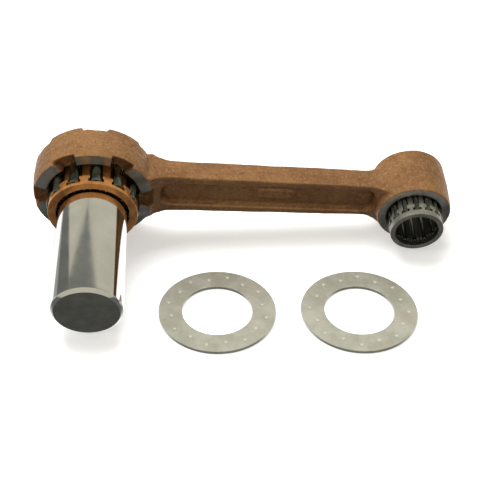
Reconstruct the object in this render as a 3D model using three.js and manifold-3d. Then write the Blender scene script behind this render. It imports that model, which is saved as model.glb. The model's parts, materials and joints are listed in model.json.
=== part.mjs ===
// Two-stroke connecting rod with its crankpin, caged bearings and thrust washers, laid out for service.
// Millimetres, +Z up. The rod stands on its edge and leans until the drawn-out crankpin's free end
// rests on the bench; the two thrust washers lie flat in front of it.
import * as THREE from 'three';
import * as BufferGeometryUtils from 'three/addons/utils/BufferGeometryUtils.js';
import Module from 'manifold-3d';

const wasm = await Module();
wasm.setup();

// ---- Driving dimensions (millimetres, degrees) ----

const CENTRE_DISTANCE = 105.9;

// Big end of the rod
const BIG_BORE_RADIUS = 15;
const BIG_OUTER_RADIUS = 19.75;
const BIG_FACE_RADIUS = 19;
const BIG_RAW_WIDTH = 13.8;
const BIG_WIDTH = 12.8;
const BORE_CHAMFER = 0.5;
const CROWN_POWER = 0.6;
const CROWN_STEPS = 6;
const RECESSES = 6;
const RECESS_HALF_ANGLE = 12;
const PAD_HALF_ANGLE = 19;
const RECESS_DEPTH = 2.4;
const RECESS_REACH = 20.4;
const RECESS_RIM_DEPTH = 0.85;

// Small end of the rod
const SMALL_BORE_RADIUS = 9;
const SMALL_OUTER_RADIUS = 12.5;
const SMALL_FACE_RADIUS = 11.95;
const SMALL_WIDTH = 18.1;

// Shank
const SHANK_THICKNESS = 7.7;
const SHANK_EDGE_ROUND = 0.8;
const SHANK_EDGE_SHARE = 0.12;
const SHANK_START = 15.5;
const SHANK_END = 99;
const SHANK_SECTIONS = 34;
const SHANK_HALF_AT_BIG = 8.6;
const SHANK_HALF_AT_SMALL = 7.3;
const BIG_BLEND_LENGTH = 14;
const BIG_BLEND_RISE = 2.2;
const SMALL_BLEND_LENGTH = 9;
const SMALL_BLEND_RISE = 3.2;
const BLEND_POWER = 2.2;
const BIG_RAMP_START = 17.8;
const BIG_RAMP_LENGTH = 7.5;
const SMALL_RAMP_START = 90;
const SMALL_RAMP_LENGTH = 8;
const RAMP_POWER = 2;
const CHANNEL_DEPTH = 1.6;
const CHANNEL_START = 22.5;
const CHANNEL_END = 92.5;
const CHANNEL_HALF = 4.5;
const CHANNEL_CORNER = 3.2;
const MARK_MIDDLE = 60;
const MARK_HALF_LENGTH = 6;
const MARK_HALF_HEIGHT = 1.9;
const MARK_RISE = 0.4;

// Crankpin
const PIN_RADIUS = 11;
const PIN_LENGTH = 56;
const PIN_FREE_END = 53.24;
const PIN_CHAMFER = 0.8;

// Big-end bearing
const BIG_ROLLERS = 12;
const BIG_ROLLER_RADIUS = 1.9;
const BIG_PITCH_RADIUS = 13;
const BIG_CAGE_INNER = 11.65;
const BIG_CAGE_OUTER = 14.4;
const BIG_CAGE_WIDTH = 16;
const BIG_CAGE_FRONT = 13.74;
const BIG_WINDOW_LENGTH = 13.6;
const BIG_WINDOW_WIDTH = 4.1;
const BIG_CAGE_TURN = -4.5;

// Small-end bearing
const SMALL_NEEDLES = 14;
const SMALL_NEEDLE_RADIUS = 0.95;
const SMALL_PITCH_RADIUS = 8;
const SMALL_CAGE_INNER = 7.15;
const SMALL_CAGE_OUTER = 8.75;
const SMALL_CAGE_WIDTH = 16.6;
const SMALL_CAGE_FRONT = 16.6;
const SMALL_WINDOW_LENGTH = 12.6;
const SMALL_WINDOW_WIDTH = 2.1;
const SMALL_CAGE_TURN = 8.8;
const CAGE_CHAMFER = 0.35;
const ROLLER_END_GAP = 0.3;
const ROLLER_EDGE = 0.3;

// Thrust washers
const WASHER_INNER_RADIUS = 11.03;
const WASHER_OUTER_RADIUS = 18.4;
const WASHER_THICKNESS = 1.1;
const WASHER_CENTRES = [[39.4, -41.5], [84.1, -42.2]];
const WASHER_TURNS = [-13.5, -4.5];
const DIMPLES = 16;
const DIMPLE_RADII = [15.6, 14.4];
const DIMPLE_BALL = 1.6;
const DIMPLE_DEPTH = 0.28;

// How the kit stands on the bench
const LEAN = 10.35;
const ROD_SLOPE = -3.71;
const BIG_CENTRE_HEIGHT = 20.24;

// How far a cutter runs past what it cuts
const OVERCUT = 1;

// Facets
const ROUND = 72;
const ROUND_SMALL = 48;
const ROLLER_SIDES = 14;
const NEEDLE_SIDES = 10;
const BALL_SIDES = 10;
const EDGE_ARC_SIDES = 3;
const CORNER_ARC_SIDES = 6;
const PAD_ARC_SIDES = 8;

const rad = THREE.MathUtils.degToRad;

// ---- Materials ----

function finish(color, metalness, roughness) {
  return new THREE.MeshStandardMaterial({ color, metalness, roughness });
}

const coppered = () => finish('#8a5638', 0.75, 0.55);
const cageCopper = () => finish('#b8713c', 0.9, 0.35);
const polished = () => finish('#c9c9c7', 1, 0.16);
const ground = () => finish('#9b9a96', 1, 0.32);
const washerSteel = () => finish('#a3a39d', 0.95, 0.38);

// ---- Solids ----

function solid(geometry) {
  const bare = geometry.clone();
  for (const name of Object.keys(bare.attributes)) {
    if (name !== 'position') bare.deleteAttribute(name);
  }
  const merged = BufferGeometryUtils.mergeVertices(bare, 1e-4);
  return new wasm.Manifold(new wasm.Mesh({
    numProp: 3,
    vertProperties: new Float32Array(merged.attributes.position.array),
    triVerts: new Uint32Array(merged.index.array),
  }));
}

function shape(manifold) {
  const mesh = manifold.getMesh();
  const geometry = new THREE.BufferGeometry();
  geometry.setAttribute('position', new THREE.BufferAttribute(mesh.vertProperties, 3));
  geometry.setIndex(new THREE.BufferAttribute(mesh.triVerts, 1));
  geometry.computeVertexNormals();
  return geometry;
}

function place(geometry, x, y, z, turnZ = 0) {
  geometry.rotateZ(rad(turnZ));
  geometry.translate(x, y, z);
  return geometry;
}

// A turned solid about the bore axis, from a closed profile of [radius, height] points.
function turned(profile, segments) {
  const points = profile.map(([r, z]) => new THREE.Vector2(r, z));
  const geometry = new THREE.LatheGeometry(points, segments);
  geometry.rotateX(Math.PI / 2);
  return geometry;
}

function ringProfile(inner, outer, low, high, chamfer) {
  return [
    [inner, low + chamfer],
    [inner + chamfer, low],
    [outer - chamfer, low],
    [outer, low + chamfer],
    [outer, high - chamfer],
    [outer - chamfer, high],
    [inner + chamfer, high],
    [inner, high - chamfer],
    [inner, low + chamfer],
  ];
}

function rodProfile(radius, low, high, chamfer) {
  return [
    [0, low],
    [radius - chamfer, low],
    [radius, low + chamfer],
    [radius, high - chamfer],
    [radius - chamfer, high],
    [0, high],
  ];
}

// A solid forged eye: flat machined faces, and a crowned rim between them.
function eyeProfile(faceRadius, outerRadius, width) {
  const half = width / 2;
  const points = [[0, -half], [faceRadius, -half]];
  for (let i = 1; i < CROWN_STEPS; i += 1) {
    const angle = Math.PI * (i / CROWN_STEPS);
    const crown = (outerRadius - faceRadius) * Math.sin(angle) ** CROWN_POWER;
    points.push([faceRadius + crown, -half * Math.cos(angle)]);
  }
  points.push([faceRadius, half], [0, half]);
  return points;
}

function chamferedBore(radius, width) {
  const half = width / 2;
  const over = half + OVERCUT;
  return turned([
    [0, -over],
    [radius + BORE_CHAMFER + OVERCUT, -over],
    [radius, -half + BORE_CHAMFER],
    [radius, half - BORE_CHAMFER],
    [radius + BORE_CHAMFER + OVERCUT, over],
    [0, over],
  ], ROUND);
}

// ---- Connecting rod ----

// How much of a blend is left at a distance into it: 1 at its root, 0 at its end.
function blendShare(distance, length, power) {
  return THREE.MathUtils.clamp(1 - distance / length, 0, 1) ** power;
}

// Half the shank's height at a distance along the rod: a straight taper that flares into both eyes.
function shankHeight(x) {
  const share = (x - SHANK_START) / (SHANK_END - SHANK_START);
  const taper = THREE.MathUtils.lerp(SHANK_HALF_AT_BIG, SHANK_HALF_AT_SMALL, share);
  const bigRise = BIG_BLEND_RISE * blendShare(x - SHANK_START, BIG_BLEND_LENGTH, BLEND_POWER);
  return taper + bigRise + SMALL_BLEND_RISE * blendShare(SHANK_END - x, SMALL_BLEND_LENGTH, BLEND_POWER);
}

// Half its thickness, which ramps up to the width of each eye.
function shankThickness(x) {
  const half = SHANK_THICKNESS / 2;
  const bigShare = blendShare(x - BIG_RAMP_START, BIG_RAMP_LENGTH, RAMP_POWER);
  const rampEnd = SMALL_RAMP_START + SMALL_RAMP_LENGTH;
  const smallShare = blendShare(rampEnd - x, SMALL_RAMP_LENGTH, RAMP_POWER);
  return half + (BIG_WIDTH / 2 - half) * bigShare + (SMALL_WIDTH / 2 - half) * smallShare;
}

// A bar of unit half height is stretched to the shank's height and thickness, section by section.
function shankSolid() {
  const half = SHANK_THICKNESS / 2;
  const edge = SHANK_EDGE_ROUND;
  const section = new THREE.Shape();
  section.moveTo(-half, SHANK_EDGE_SHARE - 1);
  section.quadraticCurveTo(-half, -1, edge - half, -1);
  section.lineTo(half - edge, -1);
  section.quadraticCurveTo(half, -1, half, SHANK_EDGE_SHARE - 1);
  section.lineTo(half, 1 - SHANK_EDGE_SHARE);
  section.quadraticCurveTo(half, 1, half - edge, 1);
  section.lineTo(edge - half, 1);
  section.quadraticCurveTo(-half, 1, -half, 1 - SHANK_EDGE_SHARE);
  const bar = new THREE.ExtrudeGeometry(section, {
    depth: SHANK_END - SHANK_START,
    steps: SHANK_SECTIONS,
    bevelEnabled: false,
    curveSegments: EDGE_ARC_SIDES,
  });
  bar.rotateY(Math.PI / 2);
  bar.translate(SHANK_START, 0, 0);
  const points = bar.attributes.position;
  for (let i = 0; i < points.count; i += 1) {
    const x = points.getX(i);
    points.setY(i, points.getY(i) * shankHeight(x));
    points.setZ(i, points.getZ(i) * (shankThickness(x) / half));
  }
  return solid(bar);
}

function channelSolid(side) {
  const half = CHANNEL_HALF;
  const corner = CHANNEL_CORNER;
  const outline = new THREE.Shape();
  outline.moveTo(CHANNEL_START + corner, -half);
  outline.lineTo(CHANNEL_END - corner, -half);
  outline.quadraticCurveTo(CHANNEL_END, -half, CHANNEL_END, corner - half);
  outline.lineTo(CHANNEL_END, half - corner);
  outline.quadraticCurveTo(CHANNEL_END, half, CHANNEL_END - corner, half);
  outline.lineTo(CHANNEL_START + corner, half);
  outline.quadraticCurveTo(CHANNEL_START, half, CHANNEL_START, half - corner);
  outline.lineTo(CHANNEL_START, corner - half);
  outline.quadraticCurveTo(CHANNEL_START, -half, CHANNEL_START + corner, -half);
  const geometry = new THREE.ExtrudeGeometry(outline, {
    depth: CHANNEL_DEPTH + OVERCUT,
    bevelEnabled: false,
    curveSegments: CORNER_ARC_SIDES,
  });
  const floor = SHANK_THICKNESS / 2 - CHANNEL_DEPTH;
  return solid(place(geometry, 0, 0, side > 0 ? floor : -floor - CHANNEL_DEPTH - OVERCUT));
}

// A plain raised pad on the front channel's floor, where such forgings carry a part mark.
function markSolid() {
  const outline = new THREE.Shape();
  const run = MARK_HALF_LENGTH - MARK_HALF_HEIGHT;
  outline.absarc(run, 0, MARK_HALF_HEIGHT, -Math.PI / 2, Math.PI / 2, false);
  outline.absarc(-run, 0, MARK_HALF_HEIGHT, Math.PI / 2, (Math.PI * 3) / 2, false);
  const pad = new THREE.ExtrudeGeometry(outline, {
    depth: OVERCUT + MARK_RISE,
    bevelEnabled: false,
    curveSegments: PAD_ARC_SIDES,
  });
  const floor = SHANK_THICKNESS / 2 - CHANNEL_DEPTH;
  return solid(place(pad, MARK_MIDDLE, 0, floor - OVERCUT));
}

// The slab that facing takes off the raw forging between two recesses.
function padCut(middle, side) {
  const half = rad(PAD_HALF_ANGLE);
  const outline = new THREE.Shape();
  outline.absarc(0, 0, BIG_OUTER_RADIUS + OVERCUT, -half, half, false);
  outline.absarc(0, 0, BIG_BORE_RADIUS - OVERCUT, half, -half, true);
  const height = BIG_RAW_WIDTH / 2;
  const slab = new THREE.ExtrudeGeometry(outline, {
    depth: height,
    bevelEnabled: false,
    curveSegments: PAD_ARC_SIDES,
  });
  const face = BIG_WIDTH / 2;
  return solid(place(slab, 0, 0, side > 0 ? face : -face - height, middle));
}

// A fan-shaped scoop that runs from the rim down into the bore, for oil.
function recessCut(angle, side) {
  const top = BIG_RAW_WIDTH / 2;
  const inner = BIG_BORE_RADIUS - OVERCUT;
  const floor = top - RECESS_DEPTH;
  const outline = new THREE.Shape();
  outline.moveTo(inner, floor);
  outline.lineTo(BIG_BORE_RADIUS + OVERCUT, floor);
  outline.lineTo(RECESS_REACH, top - RECESS_RIM_DEPTH);
  outline.lineTo(RECESS_REACH, top + OVERCUT);
  outline.lineTo(inner, top + OVERCUT);
  const wedge = new THREE.ExtrudeGeometry(outline, { depth: 2, bevelEnabled: false });
  wedge.translate(0, 0, -1);
  const points = wedge.attributes.position;
  const spread = Math.tan(rad(RECESS_HALF_ANGLE));
  for (let i = 0; i < points.count; i += 1) points.setZ(i, points.getZ(i) * points.getX(i) * spread);
  wedge.rotateX(Math.PI / 2);
  if (side < 0) wedge.rotateX(Math.PI);
  return solid(place(wedge, 0, 0, 0, angle));
}

function connectingRod() {
  const smallEyeShape = turned(eyeProfile(SMALL_FACE_RADIUS, SMALL_OUTER_RADIUS, SMALL_WIDTH), ROUND_SMALL);
  const smallEye = solid(place(smallEyeShape, CENTRE_DISTANCE, 0, 0));
  const bigEye = solid(turned(eyeProfile(BIG_FACE_RADIUS, BIG_OUTER_RADIUS, BIG_RAW_WIDTH), ROUND));
  const pitch = 360 / RECESSES;
  let rod = bigEye.add(smallEye).add(shankSolid());
  for (const side of [1, -1]) {
    rod = rod.subtract(channelSolid(side));
    for (let i = 0; i < RECESSES; i += 1) {
      // The back's recesses sit half way between the front's.
      const angle = pitch * (side > 0 ? i : i + 0.5);
      rod = rod.subtract(padCut(angle + pitch / 2, side));
      rod = rod.subtract(recessCut(angle, side));
    }
  }
  rod = rod.add(markSolid()).subtract(solid(chamferedBore(BIG_BORE_RADIUS, BIG_WIDTH)));
  const smallBore = place(chamferedBore(SMALL_BORE_RADIUS, SMALL_WIDTH), CENTRE_DISTANCE, 0, 0);
  return shape(rod.subtract(solid(smallBore)));
}

// ---- Crankpin, cages, rollers and washers ----

function crankPin() {
  return turned(rodProfile(PIN_RADIUS, PIN_FREE_END - PIN_LENGTH, PIN_FREE_END, PIN_CHAMFER), ROUND);
}

function cage({ inner, outer, width, front, windows, windowLength, windowWidth, segments }) {
  let body = solid(turned(ringProfile(inner, outer, front - width, front, CAGE_CHAMFER), segments));
  const reach = outer - inner + 2 * OVERCUT;
  for (let i = 0; i < windows; i += 1) {
    const slot = new THREE.BoxGeometry(windowWidth, reach, windowLength);
    place(slot, 0, (inner + outer) / 2, front - width / 2);
    body = body.subtract(solid(place(slot, 0, 0, 0, (360 / windows) * i)));
  }
  return shape(body);
}

function roller(radius, length, sides) {
  return turned(rodProfile(radius, -length / 2, length / 2, ROLLER_EDGE), sides);
}

function thrustWasher() {
  const half = WASHER_THICKNESS / 2;
  const inner = WASHER_INNER_RADIUS;
  const outer = WASHER_OUTER_RADIUS;
  const profile = [[inner, -half], [outer, -half], [outer, half], [inner, half], [inner, -half]];
  let washer = solid(turned(profile, ROUND));
  for (let i = 0; i < DIMPLES; i += 1) {
    for (const side of [1, -1]) {
      const ball = new THREE.SphereGeometry(DIMPLE_BALL, BALL_SIDES, BALL_SIDES);
      ball.rotateX(Math.PI / 2);
      place(ball, DIMPLE_RADII[i % 2], 0, side * (half + DIMPLE_BALL - DIMPLE_DEPTH));
      washer = washer.subtract(solid(place(ball, 0, 0, 0, (360 / DIMPLES) * i)));
    }
  }
  return shape(washer);
}

// ---- The kit ----

function part(name, geometry, material) {
  const mesh = new THREE.Mesh(geometry, material);
  mesh.name = name;
  return mesh;
}

function addBearing(group, prefix, count, pitch, middle, build, material) {
  for (let i = 0; i < count; i += 1) {
    const piece = part(`${prefix}_${String(i + 1).padStart(2, '0')}`, build(), material());
    const angle = rad(90 + (360 / count) * i);
    piece.position.set(pitch * Math.cos(angle), pitch * Math.sin(angle), middle);
    group.add(piece);
  }
}

const standing = new THREE.Group();
standing.rotation.set(rad(90 + LEAN), 0, rad(ROD_SLOPE));
standing.position.z = BIG_CENTRE_HEIGHT;
standing.add(part('connecting_rod', connectingRod(), coppered()));
standing.add(part('crank_pin', crankPin(), polished()));

const bigEnd = new THREE.Group();
bigEnd.rotation.z = rad(BIG_CAGE_TURN);
bigEnd.add(part('big_end_cage', cage({
  inner: BIG_CAGE_INNER,
  outer: BIG_CAGE_OUTER,
  width: BIG_CAGE_WIDTH,
  front: BIG_CAGE_FRONT,
  windows: BIG_ROLLERS,
  windowLength: BIG_WINDOW_LENGTH,
  windowWidth: BIG_WINDOW_WIDTH,
  segments: ROUND,
}), cageCopper()));
const bigRollerLength = BIG_WINDOW_LENGTH - 2 * ROLLER_END_GAP;
const bigRoller = () => roller(BIG_ROLLER_RADIUS, bigRollerLength, ROLLER_SIDES);
const bigMiddle = BIG_CAGE_FRONT - BIG_CAGE_WIDTH / 2;
addBearing(bigEnd, 'big_roller', BIG_ROLLERS, BIG_PITCH_RADIUS, bigMiddle, bigRoller, ground);
standing.add(bigEnd);

const smallEnd = new THREE.Group();
smallEnd.position.x = CENTRE_DISTANCE;
smallEnd.rotation.z = rad(SMALL_CAGE_TURN);
smallEnd.add(part('small_end_cage', cage({
  inner: SMALL_CAGE_INNER,
  outer: SMALL_CAGE_OUTER,
  width: SMALL_CAGE_WIDTH,
  front: SMALL_CAGE_FRONT,
  windows: SMALL_NEEDLES,
  windowLength: SMALL_WINDOW_LENGTH,
  windowWidth: SMALL_WINDOW_WIDTH,
  segments: ROUND_SMALL,
}), ground()));
const needleLength = SMALL_WINDOW_LENGTH - 2 * ROLLER_END_GAP;
const needle = () => roller(SMALL_NEEDLE_RADIUS, needleLength, NEEDLE_SIDES);
const smallMiddle = SMALL_CAGE_FRONT - SMALL_CAGE_WIDTH / 2;
addBearing(smallEnd, 'small_needle', SMALL_NEEDLES, SMALL_PITCH_RADIUS, smallMiddle, needle, ground);
standing.add(smallEnd);

const kit = new THREE.Group();
kit.add(standing);
WASHER_CENTRES.forEach(([x, y], i) => {
  const washer = part(`thrust_washer_${i + 1}`, thrustWasher(), washerSteel());
  washer.position.set(x, y, WASHER_THICKNESS / 2);
  washer.rotation.z = rad(WASHER_TURNS[i]);
  kit.add(washer);
});

// The origin is at the middle of the kit's footprint, on the bench.
const box = new THREE.Box3().setFromObject(kit, true);
kit.position.set(-(box.min.x + box.max.x) / 2, -(box.min.y + box.max.y) / 2, -box.min.z);

const object = new THREE.Group();
object.add(kit);

export default object;
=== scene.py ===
import json
import math

import bmesh
import bpy
import numpy
from mathutils import Matrix, Vector, noise


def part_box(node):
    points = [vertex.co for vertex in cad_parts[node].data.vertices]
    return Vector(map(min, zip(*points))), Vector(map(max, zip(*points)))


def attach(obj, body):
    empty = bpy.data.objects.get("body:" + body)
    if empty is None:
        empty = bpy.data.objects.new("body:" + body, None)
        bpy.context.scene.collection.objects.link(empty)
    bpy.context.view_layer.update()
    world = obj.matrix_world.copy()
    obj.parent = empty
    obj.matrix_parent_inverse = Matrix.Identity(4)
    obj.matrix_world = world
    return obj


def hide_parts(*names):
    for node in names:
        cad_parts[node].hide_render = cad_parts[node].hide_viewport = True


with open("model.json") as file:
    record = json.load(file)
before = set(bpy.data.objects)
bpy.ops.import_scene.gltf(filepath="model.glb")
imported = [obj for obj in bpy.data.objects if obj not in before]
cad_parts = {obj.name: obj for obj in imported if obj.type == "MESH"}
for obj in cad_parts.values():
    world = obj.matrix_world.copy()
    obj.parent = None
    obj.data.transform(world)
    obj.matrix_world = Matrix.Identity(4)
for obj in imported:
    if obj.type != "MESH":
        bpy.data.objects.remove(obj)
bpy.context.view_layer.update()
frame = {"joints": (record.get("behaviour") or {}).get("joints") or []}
mm = 0.001
scene = bpy.context.scene

# The rod's own frame comes from its joints: x along the rod, y across it, z along the bores.
joints = {j["name"]: j for j in frame["joints"]}
bigCentre = Vector(joints["rod_swing"]["pos_m"])
boreAxis = Vector(joints["rod_swing"]["axis"]).normalized()
needleJoints = sorted(name for name in joints if name.startswith("small_needle"))
rollerJoints = sorted(name for name in joints if name.startswith("big_roller"))


def middleOf(names):
    total = Vector()
    for name in names:
        total += Vector(joints[name]["pos_m"])
    return total / len(names)


def alongBore(point):
    return (Vector(point) - bigCentre).dot(boreAxis)


needleMiddle = middleOf(needleJoints)
smallCentre = needleMiddle - boreAxis * alongBore(needleMiddle)
rodDirection = (smallCentre - bigCentre).normalized()
acrossRod = boreAxis.cross(rodDirection)
rodFrame = Matrix((rodDirection, acrossRod, boreAxis)).transposed().to_4x4()
rodFrame.translation = bigCentre
centreDistance = (smallCentre - bigCentre).length / mm


# ---------------------------------------------------------------- shader maths


class Wire:
    def __init__(self, tree, socket):
        self.tree = tree
        self.socket = socket

    def join(self, operation, *values):
        node = self.tree.nodes.new("ShaderNodeMath")
        node.operation = operation
        for slot, value in zip(node.inputs, values):
            plug(self.tree, slot, value)
        return Wire(self.tree, node.outputs[0])

    def __add__(self, other):
        return self.join("ADD", self, other)

    def __radd__(self, other):
        return self.join("ADD", other, self)

    def __sub__(self, other):
        return self.join("SUBTRACT", self, other)

    def __rsub__(self, other):
        return self.join("SUBTRACT", other, self)

    def __mul__(self, other):
        return self.join("MULTIPLY", self, other)

    def __rmul__(self, other):
        return self.join("MULTIPLY", other, self)

    def __truediv__(self, other):
        return self.join("DIVIDE", self, other)

    def __pow__(self, other):
        return self.join("POWER", self, other)

    def least(self, other):
        return self.join("MINIMUM", self, other)

    def most(self, other):
        return self.join("MAXIMUM", self, other)

    def size(self):
        return self.join("ABSOLUTE", self)

    def wave(self):
        return self.join("SINE", self)


def plug(tree, slot, value):
    if isinstance(value, Wire):
        tree.links.new(value.socket, slot)
    else:
        slot.default_value = value


class Maker:
    def __init__(self, tree):
        self.tree = tree

    def node(self, kind, settings=None, inputs=None, out=0):
        made = self.tree.nodes.new("ShaderNode" + kind)
        for name, value in (settings or {}).items():
            if name == "stops":
                setStops(made.color_ramp, value)
            else:
                setattr(made, name, value)
        for name, value in (inputs or {}).items():
            plug(self.tree, made.inputs[name], value)
        return Wire(self.tree, made.outputs[out])

    def place(self, scale=(1, 1, 1), turn=(0, 0, 0), shift=(0, 0, 0)):
        coords = self.node("TexCoord", out="Object")
        return self.node("Mapping", {}, {"Vector": coords, "Scale": scale, "Rotation": turn, "Location": shift})

    def noise(self, vector, scale, detail=3.0, rough=0.55, warp=0.0):
        values = {"Vector": vector, "Scale": scale, "Detail": detail, "Roughness": rough, "Distortion": warp}
        return self.node("TexNoise", {}, values)

    def cells(self, vector, scale, feature="F1"):
        return self.node("TexVoronoi", {"feature": feature}, {"Vector": vector, "Scale": scale})

    def step(self, value, low, high, start=0.0, end=1.0):
        values = {"Value": value, "From Min": low, "From Max": high, "To Min": start, "To Max": end}
        return self.node("MapRange", {"interpolation_type": "SMOOTHSTEP"}, values)

    def blend(self, share, first, second, how="MIX"):
        mixed = self.tree.nodes.new("ShaderNodeMix")
        mixed.data_type = "RGBA"
        mixed.blend_type = how
        plug(self.tree, mixed.inputs["Factor"], share)
        plug(self.tree, mixed.inputs[6], first)
        plug(self.tree, mixed.inputs[7], second)
        return Wire(self.tree, mixed.outputs[2])

    def bump(self, height, distance, strength=1.0, under=None):
        values = {"Height": height, "Distance": distance, "Strength": strength}
        if under is not None:
            values["Normal"] = under
        return self.node("Bump", {}, values)


def setStops(ramp, stops):
    while len(ramp.elements) < len(stops):
        ramp.elements.new(0.5)
    for element, (position, colour) in zip(ramp.elements, stops):
        element.position = position
        element.color = colour


def rgb(red, green, blue):
    return (red, green, blue, 1.0)


def newMaterial(name):
    material = bpy.data.materials.new(name)
    material.use_nodes = True
    maker = Maker(material.node_tree)
    shader = material.node_tree.nodes["Principled BSDF"]
    return material, maker, shader


def setShader(maker, shader, **values):
    for name, value in values.items():
        plug(maker.tree, shader.inputs[name.replace("_", " ").title().replace("Ior", "IOR")], value)


# ---------------------------------------------------------------- materials


def copperForging():
    material, maker, shader = newMaterial("copper_plated_forging")
    at = maker.place()
    patches = maker.noise(at, 70, 3, 0.55)
    mottle = maker.noise(at, 520, 3, 0.6)
    grit = maker.noise(at, 1350, 3, 0.65)
    pits = maker.cells(at, 1500)
    colour = maker.blend(maker.step(patches, 0.36, 0.66), rgb(0.270, 0.134, 0.060), rgb(0.355, 0.186, 0.082))
    colour = maker.blend(maker.step(mottle, 0.45, 0.72, 0, 0.35), colour, rgb(0.44, 0.245, 0.115))
    colour = maker.blend(maker.step(mottle, 0.28, 0.46, 0.4, 0), colour, rgb(0.18, 0.085, 0.038))
    colour = maker.blend(maker.step(grit, 0.54, 0.72, 0, 0.55), colour, rgb(0.58, 0.37, 0.20))
    colour = maker.blend(maker.step(grit, 0.30, 0.44, 0.5, 0), colour, rgb(0.12, 0.055, 0.024))
    stand = maker.node("Attribute", {"attribute_name": "stand"}, {}, out=2)
    # Edges that stand out are lightened as wear; points sunk below their neighbours, in channel corners and
    # recesses, are darkened nearly to black as painted shade.
    colour = maker.blend(maker.step(stand, 0.03, 0.2, 0, 0.3), colour, rgb(0.50, 0.29, 0.14))
    colour = maker.blend(maker.step(stand, -0.14, -0.015, 0.85, 0), colour, rgb(0.075, 0.030, 0.012))
    height = mottle * 0.35 + grit * 0.5 + maker.step(pits, 0.0, 0.45) * 0.25
    setShader(
        maker,
        shader,
        base_color=colour,
        metallic=0.7,
        roughness=maker.step(grit, 0.3, 0.7, 0.60, 0.46),
        normal=maker.bump(height, 0.00012, 0.9),
    )
    return material


def machinedSteel():
    material, maker, shader = newMaterial("machined_face_steel")
    at = maker.place()
    stain = maker.noise(maker.place(shift=(0.013, 0.004, 0.0)), 45, 3, 0.6)
    film = maker.noise(at, 260, 4, 0.6)
    lay = maker.noise(maker.place(scale=(1, 8, 8)), 900, 3, 0.6)
    colour = maker.blend(maker.step(stain, 0.40, 0.62), rgb(0.20, 0.195, 0.165), rgb(0.52, 0.50, 0.48))
    colour = maker.blend(maker.step(film, 0.45, 0.75, 0, 0.45), colour, rgb(0.22, 0.215, 0.18))
    setShader(
        maker,
        shader,
        base_color=colour,
        metallic=0.85,
        roughness=maker.step(lay, 0.3, 0.7, 0.30, 0.42),
        normal=maker.bump(lay, 0.00002, 0.5),
    )
    return material


def polishedPin():
    material, maker, shader = newMaterial("polished_pin_steel")
    at = maker.place()
    haze = maker.noise(at, 90, 4, 0.6)
    hairs = maker.noise(at, 2600, 3, 0.6)
    colour = maker.blend(maker.step(haze, 0.35, 0.7), rgb(0.66, 0.655, 0.635), rgb(0.76, 0.755, 0.735))
    setShader(
        maker,
        shader,
        base_color=colour,
        metallic=1.0,
        roughness=maker.step(haze, 0.3, 0.75, 0.05, 0.10),
        normal=maker.bump(hairs, 0.000003, 0.4),
    )
    return material


def pinEndFace():
    material, maker, shader = newMaterial("pin_end_steel")
    at = maker.place()
    cloud = maker.noise(at, 160, 4, 0.6)
    grain = maker.noise(at, 1300, 3, 0.6)
    colour = maker.blend(maker.step(cloud, 0.3, 0.7), rgb(0.165, 0.168, 0.155), rgb(0.225, 0.228, 0.212))
    colour = maker.blend(maker.step(grain, 0.5, 0.75, 0, 0.4), colour, rgb(0.34, 0.34, 0.32))
    setShader(
        maker,
        shader,
        base_color=colour,
        metallic=0.6,
        roughness=maker.step(cloud, 0.3, 0.7, 0.36, 0.5),
        normal=maker.bump(grain, 0.00003, 0.5),
    )
    return material


def cageCopper():
    material, maker, shader = newMaterial("copper_plated_cage")
    at = maker.place()
    tone = maker.noise(at, 260, 4, 0.6)
    fine = maker.noise(at, 1700, 3, 0.6)
    colour = maker.blend(maker.step(tone, 0.35, 0.68), rgb(0.56, 0.225, 0.070), rgb(0.78, 0.37, 0.13))
    colour = maker.blend(maker.step(fine, 0.55, 0.75, 0, 0.35), colour, rgb(0.32, 0.11, 0.035))
    setShader(
        maker,
        shader,
        base_color=colour,
        metallic=0.85,
        roughness=maker.step(tone, 0.3, 0.7, 0.26, 0.38),
        normal=maker.bump(fine, 0.00003, 0.5),
    )
    return material


def cageSteel():
    material, maker, shader = newMaterial("needle_cage_steel")
    at = maker.place()
    tone = maker.noise(at, 300, 4, 0.6)
    fine = maker.noise(at, 1700, 3, 0.6)
    colour = maker.blend(maker.step(tone, 0.35, 0.68), rgb(0.25, 0.25, 0.215), rgb(0.38, 0.38, 0.33))
    colour = maker.blend(maker.step(fine, 0.5, 0.72, 0, 0.5), colour, rgb(0.13, 0.13, 0.11))
    setShader(
        maker,
        shader,
        base_color=colour,
        metallic=0.8,
        roughness=maker.step(fine, 0.3, 0.7, 0.38, 0.52),
        normal=maker.bump(fine, 0.00004, 0.6),
    )
    return material


# Near-black bore of a cage: painted shade inside the bearing, varied a little at random.
def cageInside(name, deep, shallow):
    material, maker, shader = newMaterial(name)
    at = maker.place()
    shadeNoise = maker.noise(at, 420, 3, 0.6)
    colour = maker.blend(maker.step(shadeNoise, 0.3, 0.7), deep, shallow)
    setShader(
        maker,
        shader,
        base_color=colour,
        metallic=0.4,
        roughness=maker.step(shadeNoise, 0.3, 0.7, 0.5, 0.62),
        normal=maker.bump(shadeNoise, 0.00003, 0.5),
    )
    return material


def rollerSteel():
    material, maker, shader = newMaterial("roller_steel")
    at = maker.place()
    tone = maker.noise(at, 300, 3, 0.6)
    fine = maker.noise(at, 2400, 2, 0.6)
    colour = maker.blend(maker.step(tone, 0.35, 0.68), rgb(0.11, 0.125, 0.105), rgb(0.19, 0.21, 0.18))
    setShader(
        maker,
        shader,
        base_color=colour,
        metallic=1.0,
        roughness=maker.step(tone, 0.3, 0.7, 0.12, 0.22),
        normal=maker.bump(fine, 0.000006, 0.4),
    )
    return material


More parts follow.
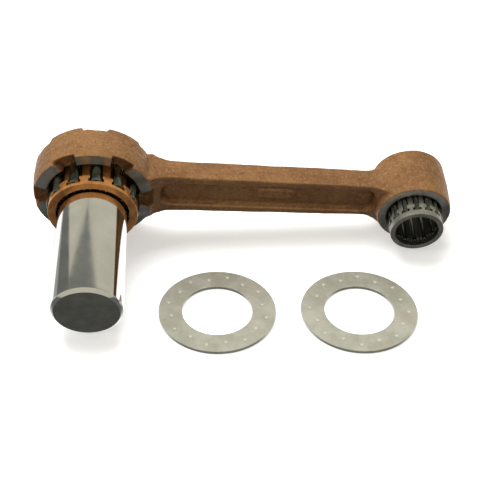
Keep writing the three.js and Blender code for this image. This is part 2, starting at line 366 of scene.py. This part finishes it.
def washerSteel(seed):
    material, maker, shader = newMaterial("washer_steel_" + str(seed))
    at = maker.place(shift=(seed * 0.37, seed * 0.21, 0))
    blotch = maker.noise(at, 150, 4, 0.62)
    tint = maker.noise(at, 70, 3, 0.6)
    fine = maker.noise(at, 900, 4, 0.68)
    colour = maker.blend(maker.step(blotch, 0.32, 0.7), rgb(0.56, 0.56, 0.49), rgb(0.72, 0.72, 0.66))
    colour = maker.blend(maker.step(tint, 0.50, 0.70, 0, 0.5), colour, rgb(0.58, 0.54, 0.45))
    colour = maker.blend(maker.step(fine, 0.54, 0.76, 0, 0.5), colour, rgb(0.86, 0.86, 0.80))
    colour = maker.blend(maker.step(fine, 0.26, 0.42, 0.5, 0), colour, rgb(0.38, 0.375, 0.32))
    # Dimples are lightened near white: partly the polish of the peened dent, partly a painted highlight.
    dent = maker.node("Attribute", {"attribute_name": "dent"}, {}, out=2)
    colour = maker.blend(maker.step(dent, 0.15, 0.8, 0, 0.85), colour, rgb(0.96, 0.96, 0.91))
    setShader(
        maker,
        shader,
        base_color=colour,
        metallic=0.85,
        roughness=maker.step(fine, 0.3, 0.7, 0.34, 0.46),
        normal=maker.bump(blotch * 0.5 + fine * 0.5, 0.00005, 0.7),
    )
    return material


# ---------------------------------------------------------------- mesh helpers


def spinProfile(points, turns):
    bm = bmesh.new()
    verts = [bm.verts.new((r * mm, 0, z * mm)) for r, z in points]
    edges = [bm.edges.new(pair) for pair in zip(verts, verts[1:])]
    if points[0][0] > 0:
        edges.append(bm.edges.new((verts[-1], verts[0])))
    bmesh.ops.spin(
        bm,
        geom=verts + edges,
        axis=(0, 0, 1),
        cent=(0, 0, 0),
        dvec=(0, 0, 0),
        angle=math.tau,
        steps=turns,
        use_merge=True,
    )
    bmesh.ops.remove_doubles(bm, verts=bm.verts, dist=0.000001)
    bmesh.ops.recalc_face_normals(bm, faces=bm.faces)
    return bm


def circleEdges(bm, test):
    found = []
    for edge in bm.edges:
        a, b = (v.co for v in edge.verts)
        level = abs(a.z - b.z) < 0.000001
        if level and abs(a.xy.length - b.xy.length) < 0.000001 and len(edge.link_faces) == 2:
            if edge.calc_face_angle(0) > math.radians(20) and test(a.xy.length / mm, a.z / mm):
                found.append(edge)
    return found


def roundEdges(bm, edges, size, segments=3):
    bmesh.ops.bevel(
        bm,
        geom=edges,
        offset=size * mm,
        offset_type="OFFSET",
        affect="EDGES",
        segments=segments,
        profile=0.5,
        material=-1,
        clamp_overlap=True,
    )


def everyEdge(radius, level):
    return True


def movePiece(bm, matrix):
    bmesh.ops.transform(bm, matrix=matrix, verts=bm.verts)


def toObject(bm, name, materials, sharp=30):
    mesh = bpy.data.meshes.new(name)
    bm.to_mesh(mesh)
    bm.free()
    for material in materials:
        mesh.materials.append(material)
    obj = bpy.data.objects.new(name, mesh)
    scene.collection.objects.link(obj)
    softenFaces(mesh, sharp)
    return obj


def softenFaces(mesh, sharp):
    for face in mesh.polygons:
        face.use_smooth = True
    mesh.set_sharp_from_angle(angle=math.radians(sharp))


def applyModifiers(obj):
    depsgraph = bpy.context.evaluated_depsgraph_get()
    mesh = bpy.data.meshes.new_from_object(obj.evaluated_get(depsgraph))
    obj.modifiers.clear()
    obj.data = mesh


def cutAway(obj, cutter, operation="DIFFERENCE"):
    cut = obj.modifiers.new("cut", "BOOLEAN")
    cut.operation = operation
    cut.solver = "EXACT"
    cut.object = cutter
    cut.material_mode = "TRANSFER"
    bpy.context.view_layer.update()
    applyModifiers(obj)
    bpy.data.objects.remove(cutter)


def joinShapes(shapes):
    bm = bmesh.new()
    for shape in shapes:
        mesh = bpy.data.meshes.new("shape")
        shape.to_mesh(mesh)
        shape.free()
        bm.from_mesh(mesh)
        bpy.data.meshes.remove(mesh)
    return bm


def standIn(obj, node, placed=True):
    if placed:
        obj.data.transform(rodFrame)
    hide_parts(node)
    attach(obj, node)
    return obj


# ---------------------------------------------------------------- connecting rod

rod = {
    "bigBore": 15.0,
    "bigCrown": 19.7,
    "bigRim": 19.0,
    "bigRawHalf": 6.9,
    "bigHalf": 6.4,
    "smallBore": 9.0,
    "smallCrown": 12.5,
    "smallRim": 12.0,
    "smallHalf": 9.05,
    "smallSpare": 0.4,
    "boreBreak": 0.5,
    "recesses": 6,
    "recessHalfAngle": (9.5, 12.8),
    "recessDepth": 2.7,
    "recessRimDepth": 0.9,
    "recessReach": 20.6,
    "padHalfAngle": 20.0,
    "shankStart": 15.5,
    "shankEnd": 99.0,
    "shankHalfThick": 3.85,
    "shankBigHalf": 8.6,
    "shankSmallHalf": 7.3,
    "bigFlare": (14.0, 1.5),
    "smallFlare": (9.0, 3.2),
    "flarePower": 2.2,
    "bigRamp": (17.8, 7.5),
    "smallRamp": (90.0, 8.0),
    "sideDraft": 0.05,
    "channelStart": 22.2,
    "channelEnd": 92.8,
    "channelHalf": 4.5,
    "channelDepth": 2.0,
    "channelDraft": 0.3,
    "channelCorner": 3.6,
    "markMiddle": 60.0,
    "markHalf": (6.0, 1.9),
    "markRise": 0.55,
    "voxel": 0.4,
    "smoothing": 3,
    "partingRidge": (0.9, 0.1),
    "unevenness": 0.09,
}


def eyeShape(crown, rim, half, turns, x=0.0):
    steps = 10
    profile = [(0, -half), (rim - 1.2, -half)]
    for i in range(1, steps):
        angle = math.pi * i / steps
        profile.append((rim + (crown - rim) * math.sin(angle), -half * math.cos(angle)))
    profile += [(rim - 1.2, half), (0, half)]
    bm = spinProfile(profile, turns)
    movePiece(bm, Matrix.Translation((x * mm, 0, 0)))
    return bm


def blendShare(distance, length, power):
    return min(1, max(0, 1 - distance / length)) ** power


def shankSize(x):
    start, end = rod["shankStart"], rod["shankEnd"]
    share = (x - start) / (end - start)
    height = rod["shankBigHalf"] + (rod["shankSmallHalf"] - rod["shankBigHalf"]) * share
    for distance, (length, rise) in ((x - start, rod["bigFlare"]), (end - x, rod["smallFlare"])):
        height += rise * blendShare(distance, length, rod["flarePower"])
    half = rod["shankHalfThick"]
    rampStart, rampLength = rod["bigRamp"]
    thick = half + (rod["bigHalf"] - half) * blendShare(x - rampStart, rampLength, 2)
    rampStart, rampLength = rod["smallRamp"]
    thick += (rod["smallHalf"] - half) * blendShare(rampStart + rampLength - x, rampLength, 2)
    return height, thick


def shankShape():
    bm = bmesh.new()
    bmesh.ops.create_cube(bm, size=2)
    crossEdges = [e for e in bm.edges if abs(e.verts[0].co.x - e.verts[1].co.x) > 1]
    bmesh.ops.subdivide_edges(bm, edges=crossEdges, cuts=120, use_grid_fill=True)
    tallEdges = [e for e in bm.edges if abs(e.verts[0].co.z - e.verts[1].co.z) > 1]
    bmesh.ops.subdivide_edges(bm, edges=tallEdges, cuts=1, use_grid_fill=True)
    middle = (rod["shankStart"] + rod["shankEnd"]) / 2
    reach = (rod["shankEnd"] - rod["shankStart"]) / 2
    for vert in bm.verts:
        x = middle + vert.co.x * reach
        height, thick = shankSize(x)
        draft = 1 - rod["sideDraft"] * abs(vert.co.z)
        vert.co = Vector((x, vert.co.y * height * draft, vert.co.z * thick)) * mm
    bmesh.ops.recalc_face_normals(bm, faces=bm.faces)
    return bm


def slabShape(halfLength, halfHeight, corner, depth, grow):
    bm = bmesh.new()
    corners = [bm.verts.new(Vector((x * halfLength, y * halfHeight, 0)) * mm) for x, y in ((-1, -1), (1, -1), (1, 1), (-1, 1))]
    bm.faces.new(corners)
    bmesh.ops.bevel(
        bm,
        geom=corners,
        offset=corner * mm,
        offset_type="OFFSET",
        affect="VERTICES",
        segments=6,
        profile=0.5,
        material=-1,
        clamp_overlap=True,
    )
    raised = bmesh.ops.extrude_face_region(bm, geom=bm.faces[:])
    for vert in raised["geom"]:
        if isinstance(vert, bmesh.types.BMVert):
            vert.co = Vector(
                (vert.co.x * (1 + grow / halfLength), vert.co.y * (1 + grow / halfHeight), depth * mm)
            )
    bmesh.ops.recalc_face_normals(bm, faces=bm.faces)
    return bm


def channelShape(side):
    start, end = rod["channelStart"], rod["channelEnd"]
    depth = rod["channelDepth"] + 2
    draft = rod["channelDraft"] * depth
    bm = slabShape((end - start) / 2, rod["channelHalf"], rod["channelCorner"], depth, draft)
    if side < 0:
        movePiece(bm, Matrix.Rotation(math.pi, 4, "X"))
    level = rod["shankHalfThick"] - rod["channelDepth"]
    movePiece(bm, Matrix.Translation(Vector(((start + end) / 2, 0, side * level)) * mm))
    return bm


def markShape():
    length, height = rod["markHalf"]
    bm = slabShape(length + 0.3, height + 0.3, height, rod["markRise"] + 1, -0.3)
    level = rod["shankHalfThick"] - rod["channelDepth"] - 1
    movePiece(bm, Matrix.Translation(Vector((rod["markMiddle"], 0, level)) * mm))
    return bm


def recessShape(angle, side):
    top = rod["bigRawHalf"]
    floor = top - rod["recessDepth"]
    inner, reach = rod["bigBore"] - 2, rod["recessReach"]
    innerHalf, outerHalf = (math.tan(math.radians(a)) for a in rod["recessHalfAngle"])
    outline = [
        (inner, floor, innerHalf),
        (rod["bigBore"] + 1.0, floor, innerHalf),
        (rod["bigBore"] + 3.2, floor + 0.7, outerHalf),
        (reach, top - rod["recessRimDepth"], outerHalf),
        (reach, top + 2, outerHalf),
        (inner, top + 2, innerHalf),
    ]
    bm = bmesh.new()
    rows = [[bm.verts.new(Vector((x, turn * x * half, z)) * mm) for x, z, half in outline] for turn in (-1, 0, 1)]
    bm.faces.new(rows[0])
    bm.faces.new(list(reversed(rows[2])))
    for vert in (rows[1][0], rows[1][1], rows[1][2]):
        vert.co.z -= 0.45 * mm
    for first, second in ((rows[0], rows[1]), (rows[1], rows[2])):
        for i in range(len(outline)):
            j = (i + 1) % len(outline)
            bm.faces.new([first[i], first[j], second[j], second[i]])
    bmesh.ops.recalc_face_normals(bm, faces=bm.faces)
    if side < 0:
        movePiece(bm, Matrix.Rotation(math.pi, 4, "X"))
    movePiece(bm, Matrix.Rotation(math.radians(angle), 4, "Z"))
    return bm


def padSlab(angle, side):
    half = math.radians(rod["padHalfAngle"])
    low, high = rod["bigHalf"], rod["bigRawHalf"] + 2
    bm = bmesh.new()
    verts = [bm.verts.new(Vector((r, 0, z)) * mm) for r, z in ((13, low), (24, low), (24, high), (13, high))]
    face = bm.faces.new(verts)
    movePiece(bm, Matrix.Rotation(-half, 4, "Z"))
    bmesh.ops.spin(
        bm,
        geom=[face, *face.verts, *face.edges],
        axis=(0, 0, 1),
        cent=(0, 0, 0),
        dvec=(0, 0, 0),
        angle=2 * half,
        steps=16,
        use_merge=False,
    )
    bmesh.ops.recalc_face_normals(bm, faces=bm.faces)
    if side < 0:
        movePiece(bm, Matrix.Rotation(math.pi, 4, "X"))
    movePiece(bm, Matrix.Rotation(math.radians(angle), 4, "Z"))
    return bm


def raisePartingLine(mesh):
    reach, height = rod["partingRidge"]
    normals = [v.normal.copy() for v in mesh.vertices]
    for vert, normal in zip(mesh.vertices, normals):
        level = abs(vert.co.z / mm)
        if level < reach and abs(normal.z) < 0.5:
            vert.co += normal * height * mm * (0.5 + 0.5 * math.cos(math.pi * level / reach))


def boreShape(radius, half, turns, x=0.0):
    over = 2.0
    grow = rod["boreBreak"]
    profile = [
        (0, -half - over),
        (radius + grow + over, -half - over),
        (radius, -half + grow),
        (radius, half - grow),
        (radius + grow + over, half + over),
        (0, half + over),
    ]
    bm = spinProfile(profile, turns)
    movePiece(bm, Matrix.Translation((x * mm, 0, 0)))
    return bm


def facingSlab(side, x):
    bm = bmesh.new()
    bmesh.ops.create_cone(bm, cap_ends=True, segments=64, radius1=16 * mm, radius2=16 * mm, depth=4 * mm)
    level = rod["smallHalf"] + 2
    movePiece(bm, Matrix.Translation(Vector((x, 0, side * level)) * mm))
    return bm


# The back's recesses sit half way between the front's.
def recessAngle(i, side):
    return 360 / rod["recesses"] * (i if side > 0 else i + 0.5)


# How far each point stands out of its neighbours' level, in millimetres, softened over the skin.
def standOut(mesh, rounds):
    count = len(mesh.vertices)
    places = numpy.empty(count * 3)
    mesh.vertices.foreach_get("co", places)
    places = places.reshape(-1, 3) / mm
    normals = numpy.empty(count * 3)
    mesh.vertex_normals.foreach_get("vector", normals)
    normals = normals.reshape(-1, 3)
    pairs = numpy.empty(len(mesh.edges) * 2, dtype=int)
    mesh.edges.foreach_get("vertices", pairs)
    first, second = pairs.reshape(-1, 2).T
    links = numpy.bincount(pairs, minlength=count)[:, None]

    def average(values):
        total = numpy.zeros_like(values)
        for k in range(values.shape[1]):
            total[:, k] += numpy.bincount(first, weights=values[second, k], minlength=count)
            total[:, k] += numpy.bincount(second, weights=values[first, k], minlength=count)
        return total / links

    smoothed = places
    for _ in range(rounds):
        smoothed = average(smoothed)
    out = ((places - smoothed) * normals).sum(axis=1, keepdims=True)
    for _ in range(2):
        out = average(out)
    return out[:, 0]


# Only the forged skin is uneven: a vertex that touches a machined face stays where it was cut.
def roughenSkin(mesh):
    machined = set()
    for face in mesh.polygons:
        if face.material_index > 0:
            machined.update(face.vertices)
    normals = [v.normal.copy() for v in mesh.vertices]
    for vert, normal in zip(mesh.vertices, normals):
        if vert.index in machined:
            continue
        place = vert.co / mm
        lift = noise.noise(place * 0.16) + 0.5 * noise.noise(place * 0.5) + 0.3 * noise.noise(place * 1.1)
        vert.co += normal * lift * rod["unevenness"] * mm


def makeRod():
    forging = copperForging()
    steel = machinedSteel()
    bigEye = eyeShape(rod["bigCrown"], rod["bigRim"], rod["bigRawHalf"], 144)
    body = toObject(bigEye, "connecting_rod_forging", [forging])
    smallEye = eyeShape(rod["smallCrown"], rod["smallRim"], rod["smallHalf"] + rod["smallSpare"], 96, centreDistance)
    for shape in (smallEye, shankShape()):
        cutAway(body, toObject(shape, "join", [forging]), "UNION")
    hollows = []
    for side in (1, -1):
        hollows.append(channelShape(side))
        for i in range(rod["recesses"]):
            hollows.append(recessShape(recessAngle(i, side), side))
    cutAway(body, toObject(joinShapes(hollows), "hollows", [forging]))
    cutAway(body, toObject(markShape(), "mark", [forging]), "UNION")
    remesh = body.modifiers.new("remesh", "REMESH")
    remesh.mode = "VOXEL"
    remesh.voxel_size = rod["voxel"] * mm
    remesh.adaptivity = 0
    smooth = body.modifiers.new("smooth", "SMOOTH")
    smooth.factor = 0.5
    smooth.iterations = rod["smoothing"]
    applyModifiers(body)
    body.data.materials.clear()
    body.data.materials.append(forging)
    raisePartingLine(body.data)
    stand = standOut(body.data, 5)
    layer = body.data.attributes.new("stand", "FLOAT", "POINT")
    layer.data.foreach_set("value", stand)
    print("rod forging:", len(body.data.polygons), "faces")
    slabs = [facingSlab(side, centreDistance) for side in (1, -1)]
    for side in (1, -1):
        for i in range(rod["recesses"]):
            slabs.append(padSlab(recessAngle(i + 0.5, side), side))
    cutAway(body, toObject(joinShapes(slabs), "facing", [steel]))
    cutAway(body, toObject(boreShape(rod["bigBore"], rod["bigHalf"], 128), "bore", [steel]))
    cutAway(body, toObject(boreShape(rod["smallBore"], rod["smallHalf"], 96, centreDistance), "bore", [steel]))
    roughenSkin(body.data)
    softenFaces(body.data, 40)
    body.name = "rod_forging"
    print("rod machined:", len(body.data.polygons), "faces")
    return standIn(body, "connecting_rod")


makeRod()

# ---------------------------------------------------------------- crankpin

pin = {"radius": 11.0, "freeEnd": 53.24, "length": 56.0, "chamfer": 0.95, "edge": 0.16, "centreMark": 0.9}


def makePin():
    free, seated = pin["freeEnd"], pin["freeEnd"] - pin["length"]
    radius, chamfer, mark = pin["radius"], pin["chamfer"], pin["centreMark"]
    profile = [
        (0, seated + 0.25),
        (mark, seated),
        (radius - chamfer, seated),
        (radius, seated + chamfer),
        (radius, seated + chamfer + 0.5),
        (radius, free - chamfer - 0.5),
        (radius, free - chamfer),
        (radius - chamfer, free),
        (mark, free),
        (0, free - 0.25),
    ]
    bm = spinProfile(profile, 160)
    rims = circleEdges(bm, lambda r, z: r > radius - chamfer - 0.1)
    roundEdges(bm, rims, pin["edge"], 3)
    for face in bm.faces:
        centre = face.calc_center_median()
        if centre.xy.length < (radius - chamfer - 0.05) * mm:
            face.material_index = 1
    obj = toObject(bm, "crank_pin_body", [polishedPin(), pinEndFace()])
    standIn(obj, "crank_pin")


makePin()
print("crankpin made")

# ---------------------------------------------------------------- bearings

bigBearing = {
    "node": "big_end_cage",
    "inner": 11.75,
    "outer": 14.35,
    "waist": 12.7,
    "front": 13.74,
    "width": 16.0,
    "shoulder": 3.7,
    "windows": 12,
    "windowLength": 13.6,
    "windowWidth": 4.1,
    "rollerRadius": 1.9,
    "keepsRollers": False,
    "edge": 0.16,
    "turns": 144,
    "pocket": (0.9, 1.3),
    "x": 0.0,
}

smallBearing = {
    "node": "small_end_cage",
    "inner": 7.15,
    "outer": 8.75,
    "waist": 8.1,
    "front": 16.6,
    "width": 16.6,
    "shoulder": 4.6,
    "windows": 14,
    "windowLength": 12.6,
    "windowWidth": 2.1,
    "rollerRadius": 0.95,
    "keepsRollers": True,
    "pitchRadius": 8.0,
    "edge": 0.1,
    "turns": 112,
    "pocket": (0.8, 1.1),
    "x": centreDistance,
}


def cageTurn(names):
    place = rodFrame.inverted() @ Vector(joints[names[0]]["pos_m"])
    return math.atan2(-(place.x - round(place.x / mm / centreDistance) * centreDistance * mm), place.y)


def cutBox(width, reach, length, radius, level, angle, corner):
    bm = bmesh.new()
    bmesh.ops.create_cube(bm, size=1)
    bmesh.ops.scale(bm, vec=Vector((width, reach, length)) * mm, verts=bm.verts)
    radialEdges = [e for e in bm.edges if abs(e.verts[0].co.y - e.verts[1].co.y) > 0.5 * reach * mm]
    roundEdges(bm, radialEdges, corner, 3)
    movePiece(bm, Matrix.Translation(Vector((0, radius, level)) * mm))
    movePiece(bm, Matrix.Rotation(angle, 4, "Z"))
    return bm


# A bore along the needle that breaks through the wall on both sides, narrower than the needle.
def roundWindow(cage, level, angle):
    bm = bmesh.new()
    radius = (cage["rollerRadius"] + 0.08) * mm
    length = cage["windowLength"] * mm
    bmesh.ops.create_cone(bm, cap_ends=True, segments=24, radius1=radius, radius2=radius, depth=length)
    movePiece(bm, Matrix.Translation(Vector((0, cage["pitchRadius"], level)) * mm))
    movePiece(bm, Matrix.Rotation(angle, 4, "Z"))
    return bm


def makeCage(cage, names, material, insideMaterial):
    front, back = cage["front"], cage["front"] - cage["width"]
    shoulder, outer, waist, inner = cage["shoulder"], cage["outer"], cage["waist"], cage["inner"]
    slope = 0.5
    profile = [
        (inner, back),
        (outer, back),
        (outer, back + shoulder),
        (waist, back + shoulder + slope),
        (waist, front - shoulder - slope),
        (outer, front - shoulder),
        (outer, front),
        (inner, front),
    ]
    bm = spinProfile(profile, cage["turns"])
    roundEdges(bm, circleEdges(bm, everyEdge), cage["edge"] * 1.4, 3)
    for face in bm.faces:
        face.material_index = 1 if face.calc_center_median().xy.length < (inner + 0.03) * mm else 0
    obj = toObject(bm, cage["node"] + "_body", [material, insideMaterial])
    middle, wall = (front + back) / 2, (inner + outer) / 2
    width, length = cage["windowWidth"], cage["windowLength"]
    pocketWide, pocketLong = cage["pocket"]
    windows, pockets = [], []
    firstTurn = cageTurn(names)
    for i in range(cage["windows"]):
        angle = firstTurn + math.tau * i / cage["windows"]
        if cage["keepsRollers"]:
            windows.append(roundWindow(cage, middle, angle))
        else:
            windows.append(cutBox(width, outer - inner + 3, length, wall, middle, angle, 0.3))
        for end in (1, -1):
            level = middle + end * (length - pocketLong) / 2
            pockets.append(cutBox(width + pocketWide, outer - inner + 2, pocketLong, wall, level, angle, 0.2))
    cutAway(obj, toObject(joinShapes(windows), "windows", [material]))
    cutAway(obj, toObject(joinShapes(pockets), "pockets", [material]))
    bevel = obj.modifiers.new("edges", "BEVEL")
    bevel.width = cage["edge"] * mm
    bevel.segments = 2
    bevel.limit_method = "ANGLE"
    bevel.angle_limit = math.radians(40)
    applyModifiers(obj)
    softenFaces(obj.data, 35)
    obj.data.transform(Matrix.Translation((cage["x"] * mm, 0, 0)))
    standIn(obj, cage["node"])


def makeRollers(cage, names, material):
    length = cage["windowLength"] - 0.6
    radius = cage["rollerRadius"]
    crown = radius * 0.16
    for name in names:
        joint = joints[name]
        profile = [
            (0, -length / 2),
            (radius - crown, -length / 2),
            (radius, -length / 2 + crown),
            (radius, length / 2 - crown),
            (radius - crown, length / 2),
            (0, length / 2),
        ]
        bm = spinProfile(profile, 40)
        roundEdges(bm, circleEdges(bm, everyEdge), crown * 0.45, 3)
        turn = rodFrame.to_3x3().to_4x4()
        turn.translation = Vector(joint["pos_m"])
        movePiece(bm, turn)
        node = joint["child"]
        standIn(toObject(bm, node + "_body", [material]), node, placed=False)


# The cage bores get near-black materials as painted shade inside the bearings.
copperInside = cageInside("cage_inside_copper_painted_shade", rgb(0.020, 0.009, 0.004), rgb(0.055, 0.024, 0.010))
steelInside = cageInside("cage_inside_steel_painted_shade", rgb(0.012, 0.012, 0.010), rgb(0.028, 0.028, 0.024))
makeCage(bigBearing, rollerJoints, cageCopper(), copperInside)
makeCage(smallBearing, needleJoints, cageSteel(), steelInside)
rollerFinish = rollerSteel()
makeRollers(bigBearing, rollerJoints, rollerFinish)
makeRollers(smallBearing, needleJoints, rollerFinish)
print("bearings made")

# ---------------------------------------------------------------- thrust washers

washer = {
    "inner": 11.03,
    "outer": 18.4,
    "edge": 0.18,
    "rings": 34,
    "turns": 384,
    "dimples": 16,
    "dimpleRadii": (15.6, 14.4),
    "dimpleSize": 1.0,
    "dimpleDepth": 0.26,
    "starts": (-13.5, -4.5),
}


def dimpleSink(x, y, start):
    radius = math.hypot(x, y)
    pitch = 360 / washer["dimples"]
    angle = math.degrees(math.atan2(y, x)) - start
    nearest = round(angle / pitch)
    ring = washer["dimpleRadii"][nearest % 2]
    away = math.radians(angle - nearest * pitch)
    gap = math.hypot(radius * math.sin(away), radius * math.cos(away) - ring) / washer["dimpleSize"]
    return washer["dimpleDepth"] * (0.5 + 0.5 * math.cos(math.pi * gap)) if gap < 1 else 0.0


def makeWasher(index):
    node = "thrust_washer_" + str(index + 1)
    low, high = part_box(node)
    half = (high.z - low.z) / 2 / mm
    inner, outer, rings = washer["inner"], washer["outer"], washer["rings"]
    across = [inner + (outer - inner) * i / rings for i in range(rings + 1)]
    profile = [(r, -half) for r in across] + [(r, half) for r in reversed(across)]
    bm = spinProfile(profile, washer["turns"])
    dent = bm.verts.layers.float.new("dent")
    for vert in bm.verts:
        side = 1 if vert.co.z > 0 else -1
        sink = dimpleSink(vert.co.x / mm, vert.co.y / mm, washer["starts"][index])
        vert[dent] = sink / washer["dimpleDepth"]
        vert.co.z -= side * sink * mm
    rims = circleEdges(bm, lambda r, z: r < inner + 0.01 or r > outer - 0.01)
    roundEdges(bm, rims, washer["edge"], 3)
    movePiece(bm, Matrix.Translation((low + high) / 2))
    obj = toObject(bm, node + "_body", [washerSteel(index)], 50)
    standIn(obj, node, placed=False)


for index in range(2):
    makeWasher(index)
print("washers made")

# ---------------------------------------------------------------- studio

studio = {
    "aim": (51.16, -10.80),
    "distance": 381.7,
    "pitch": 39.86,
    "yaw": 3.98,
    "roll": 1.94,
    "lens": 81.98,
}


def makeCamera():
    camera = bpy.data.objects.new("camera", bpy.data.cameras.new("camera"))
    camera.data.lens = studio["lens"]
    camera.data.sensor_width = 36
    camera.data.clip_start = 0.01
    turn = Matrix.Rotation(math.radians(-studio["yaw"]), 4, "Z")
    turn @= Matrix.Rotation(math.radians(90 - studio["pitch"]), 4, "X")
    turn @= Matrix.Rotation(math.radians(studio["roll"]), 4, "Z")
    aim = Vector((bigCentre.x, bigCentre.y, 0)) + Vector((*studio["aim"], 0)) * mm
    turn.translation = aim + turn.to_3x3() @ Vector((0, 0, studio["distance"] * mm))
    camera.matrix_world = turn
    scene.collection.objects.link(camera)
    scene.camera = camera


def makeFloor():
    bm = bmesh.new()
    bmesh.ops.create_grid(bm, x_segments=2, y_segments=2, size=2.5)
    material, maker, shader = newMaterial("floor")
    tone = maker.noise(maker.place(), 6, 2, 0.5)
    colour = maker.blend(maker.step(tone, 0.3, 0.7), rgb(0.60, 0.605, 0.62), rgb(0.62, 0.625, 0.64))
    setShader(maker, shader, base_color=colour, roughness=0.7, emission_color=rgb(1, 1, 1), emission_strength=0.44)
    floor = toObject(bm, "floor", [material])
    floor.visible_glossy = False
    floor.visible_diffuse = False


def makeLight(name, place, size, power, aim=(0, 0, 0), glossy=True):
    light = bpy.data.objects.new(name, bpy.data.lights.new(name, "AREA"))
    light.data.shape = "RECTANGLE"
    light.data.size, light.data.size_y = size
    light.data.energy = power
    light.location = place
    light.rotation_euler = (Vector(place) - Vector(aim)).to_track_quat("Z", "Y").to_euler()
    light.visible_glossy = glossy
    scene.collection.objects.link(light)
    return light


# The light all round: a pale room, a bright bench behind, dim in front and below.
def makeWorld():
    world = bpy.data.worlds.new("studio")
    scene.world = world
    world.use_nodes = True
    tree = world.node_tree
    maker = Maker(tree)
    split = tree.nodes.new("ShaderNodeSeparateXYZ")
    plug(tree, split.inputs[0], maker.node("TexCoord", out="Generated"))
    x, y, z = (Wire(tree, out) for out in split.outputs)
    above = maker.step(z, -0.16, -0.06)
    bench = maker.step(y, -0.15, 0.6)
    level = 0.15 + bench * 1.30
    colour = maker.blend(above, rgb(1, 1, 1), rgb(1.0, 0.955, 0.79))
    level = level + above * (0.62 - level)
    # Two dark cards, laid out by their bearing round the crankpin and by how far along it they stand.
    along = y * boreAxis.y + z * boreAxis.z
    bearing = x.join("ARCTAN2", x, z * -boreAxis.y + y * boreAxis.z)
    reach = along + 0.665
    band = maker.step(along, -0.55, -0.52, 1, 0)
    wedge = maker.step(bearing + reach * 17.7, -0.215, -0.170) * maker.step(bearing - reach * 13.3, -0.200, -0.155, 1, 0)
    stripe = maker.step(bearing + reach * 5.2, -1.95, -1.90) * maker.step(bearing - reach * 8.4, -1.42, -1.37, 1, 0)
    card = wedge.most(stripe) * band
    level = level * (1 - card * (0.66 + stripe * 0.05))
    grey = maker.blend(card, colour, rgb(0.97, 1.0, 0.90))
    background = tree.nodes["Background"]
    plug(tree, background.inputs["Color"], maker.blend(1.0, grey, level, "MULTIPLY"))
    background.inputs["Strength"].default_value = 1.0


makeCamera()
makeFloor()
makeWorld()
makeLight("overhead", (-0.12, 0.30, 0.70), (0.6, 0.5), 10.5, glossy=False)
makeLight("leftFill", (-0.6, -0.15, 0.35), (0.4, 0.4), 1.6, glossy=False)
scene.view_settings.view_transform = "Standard"
print("studio made")
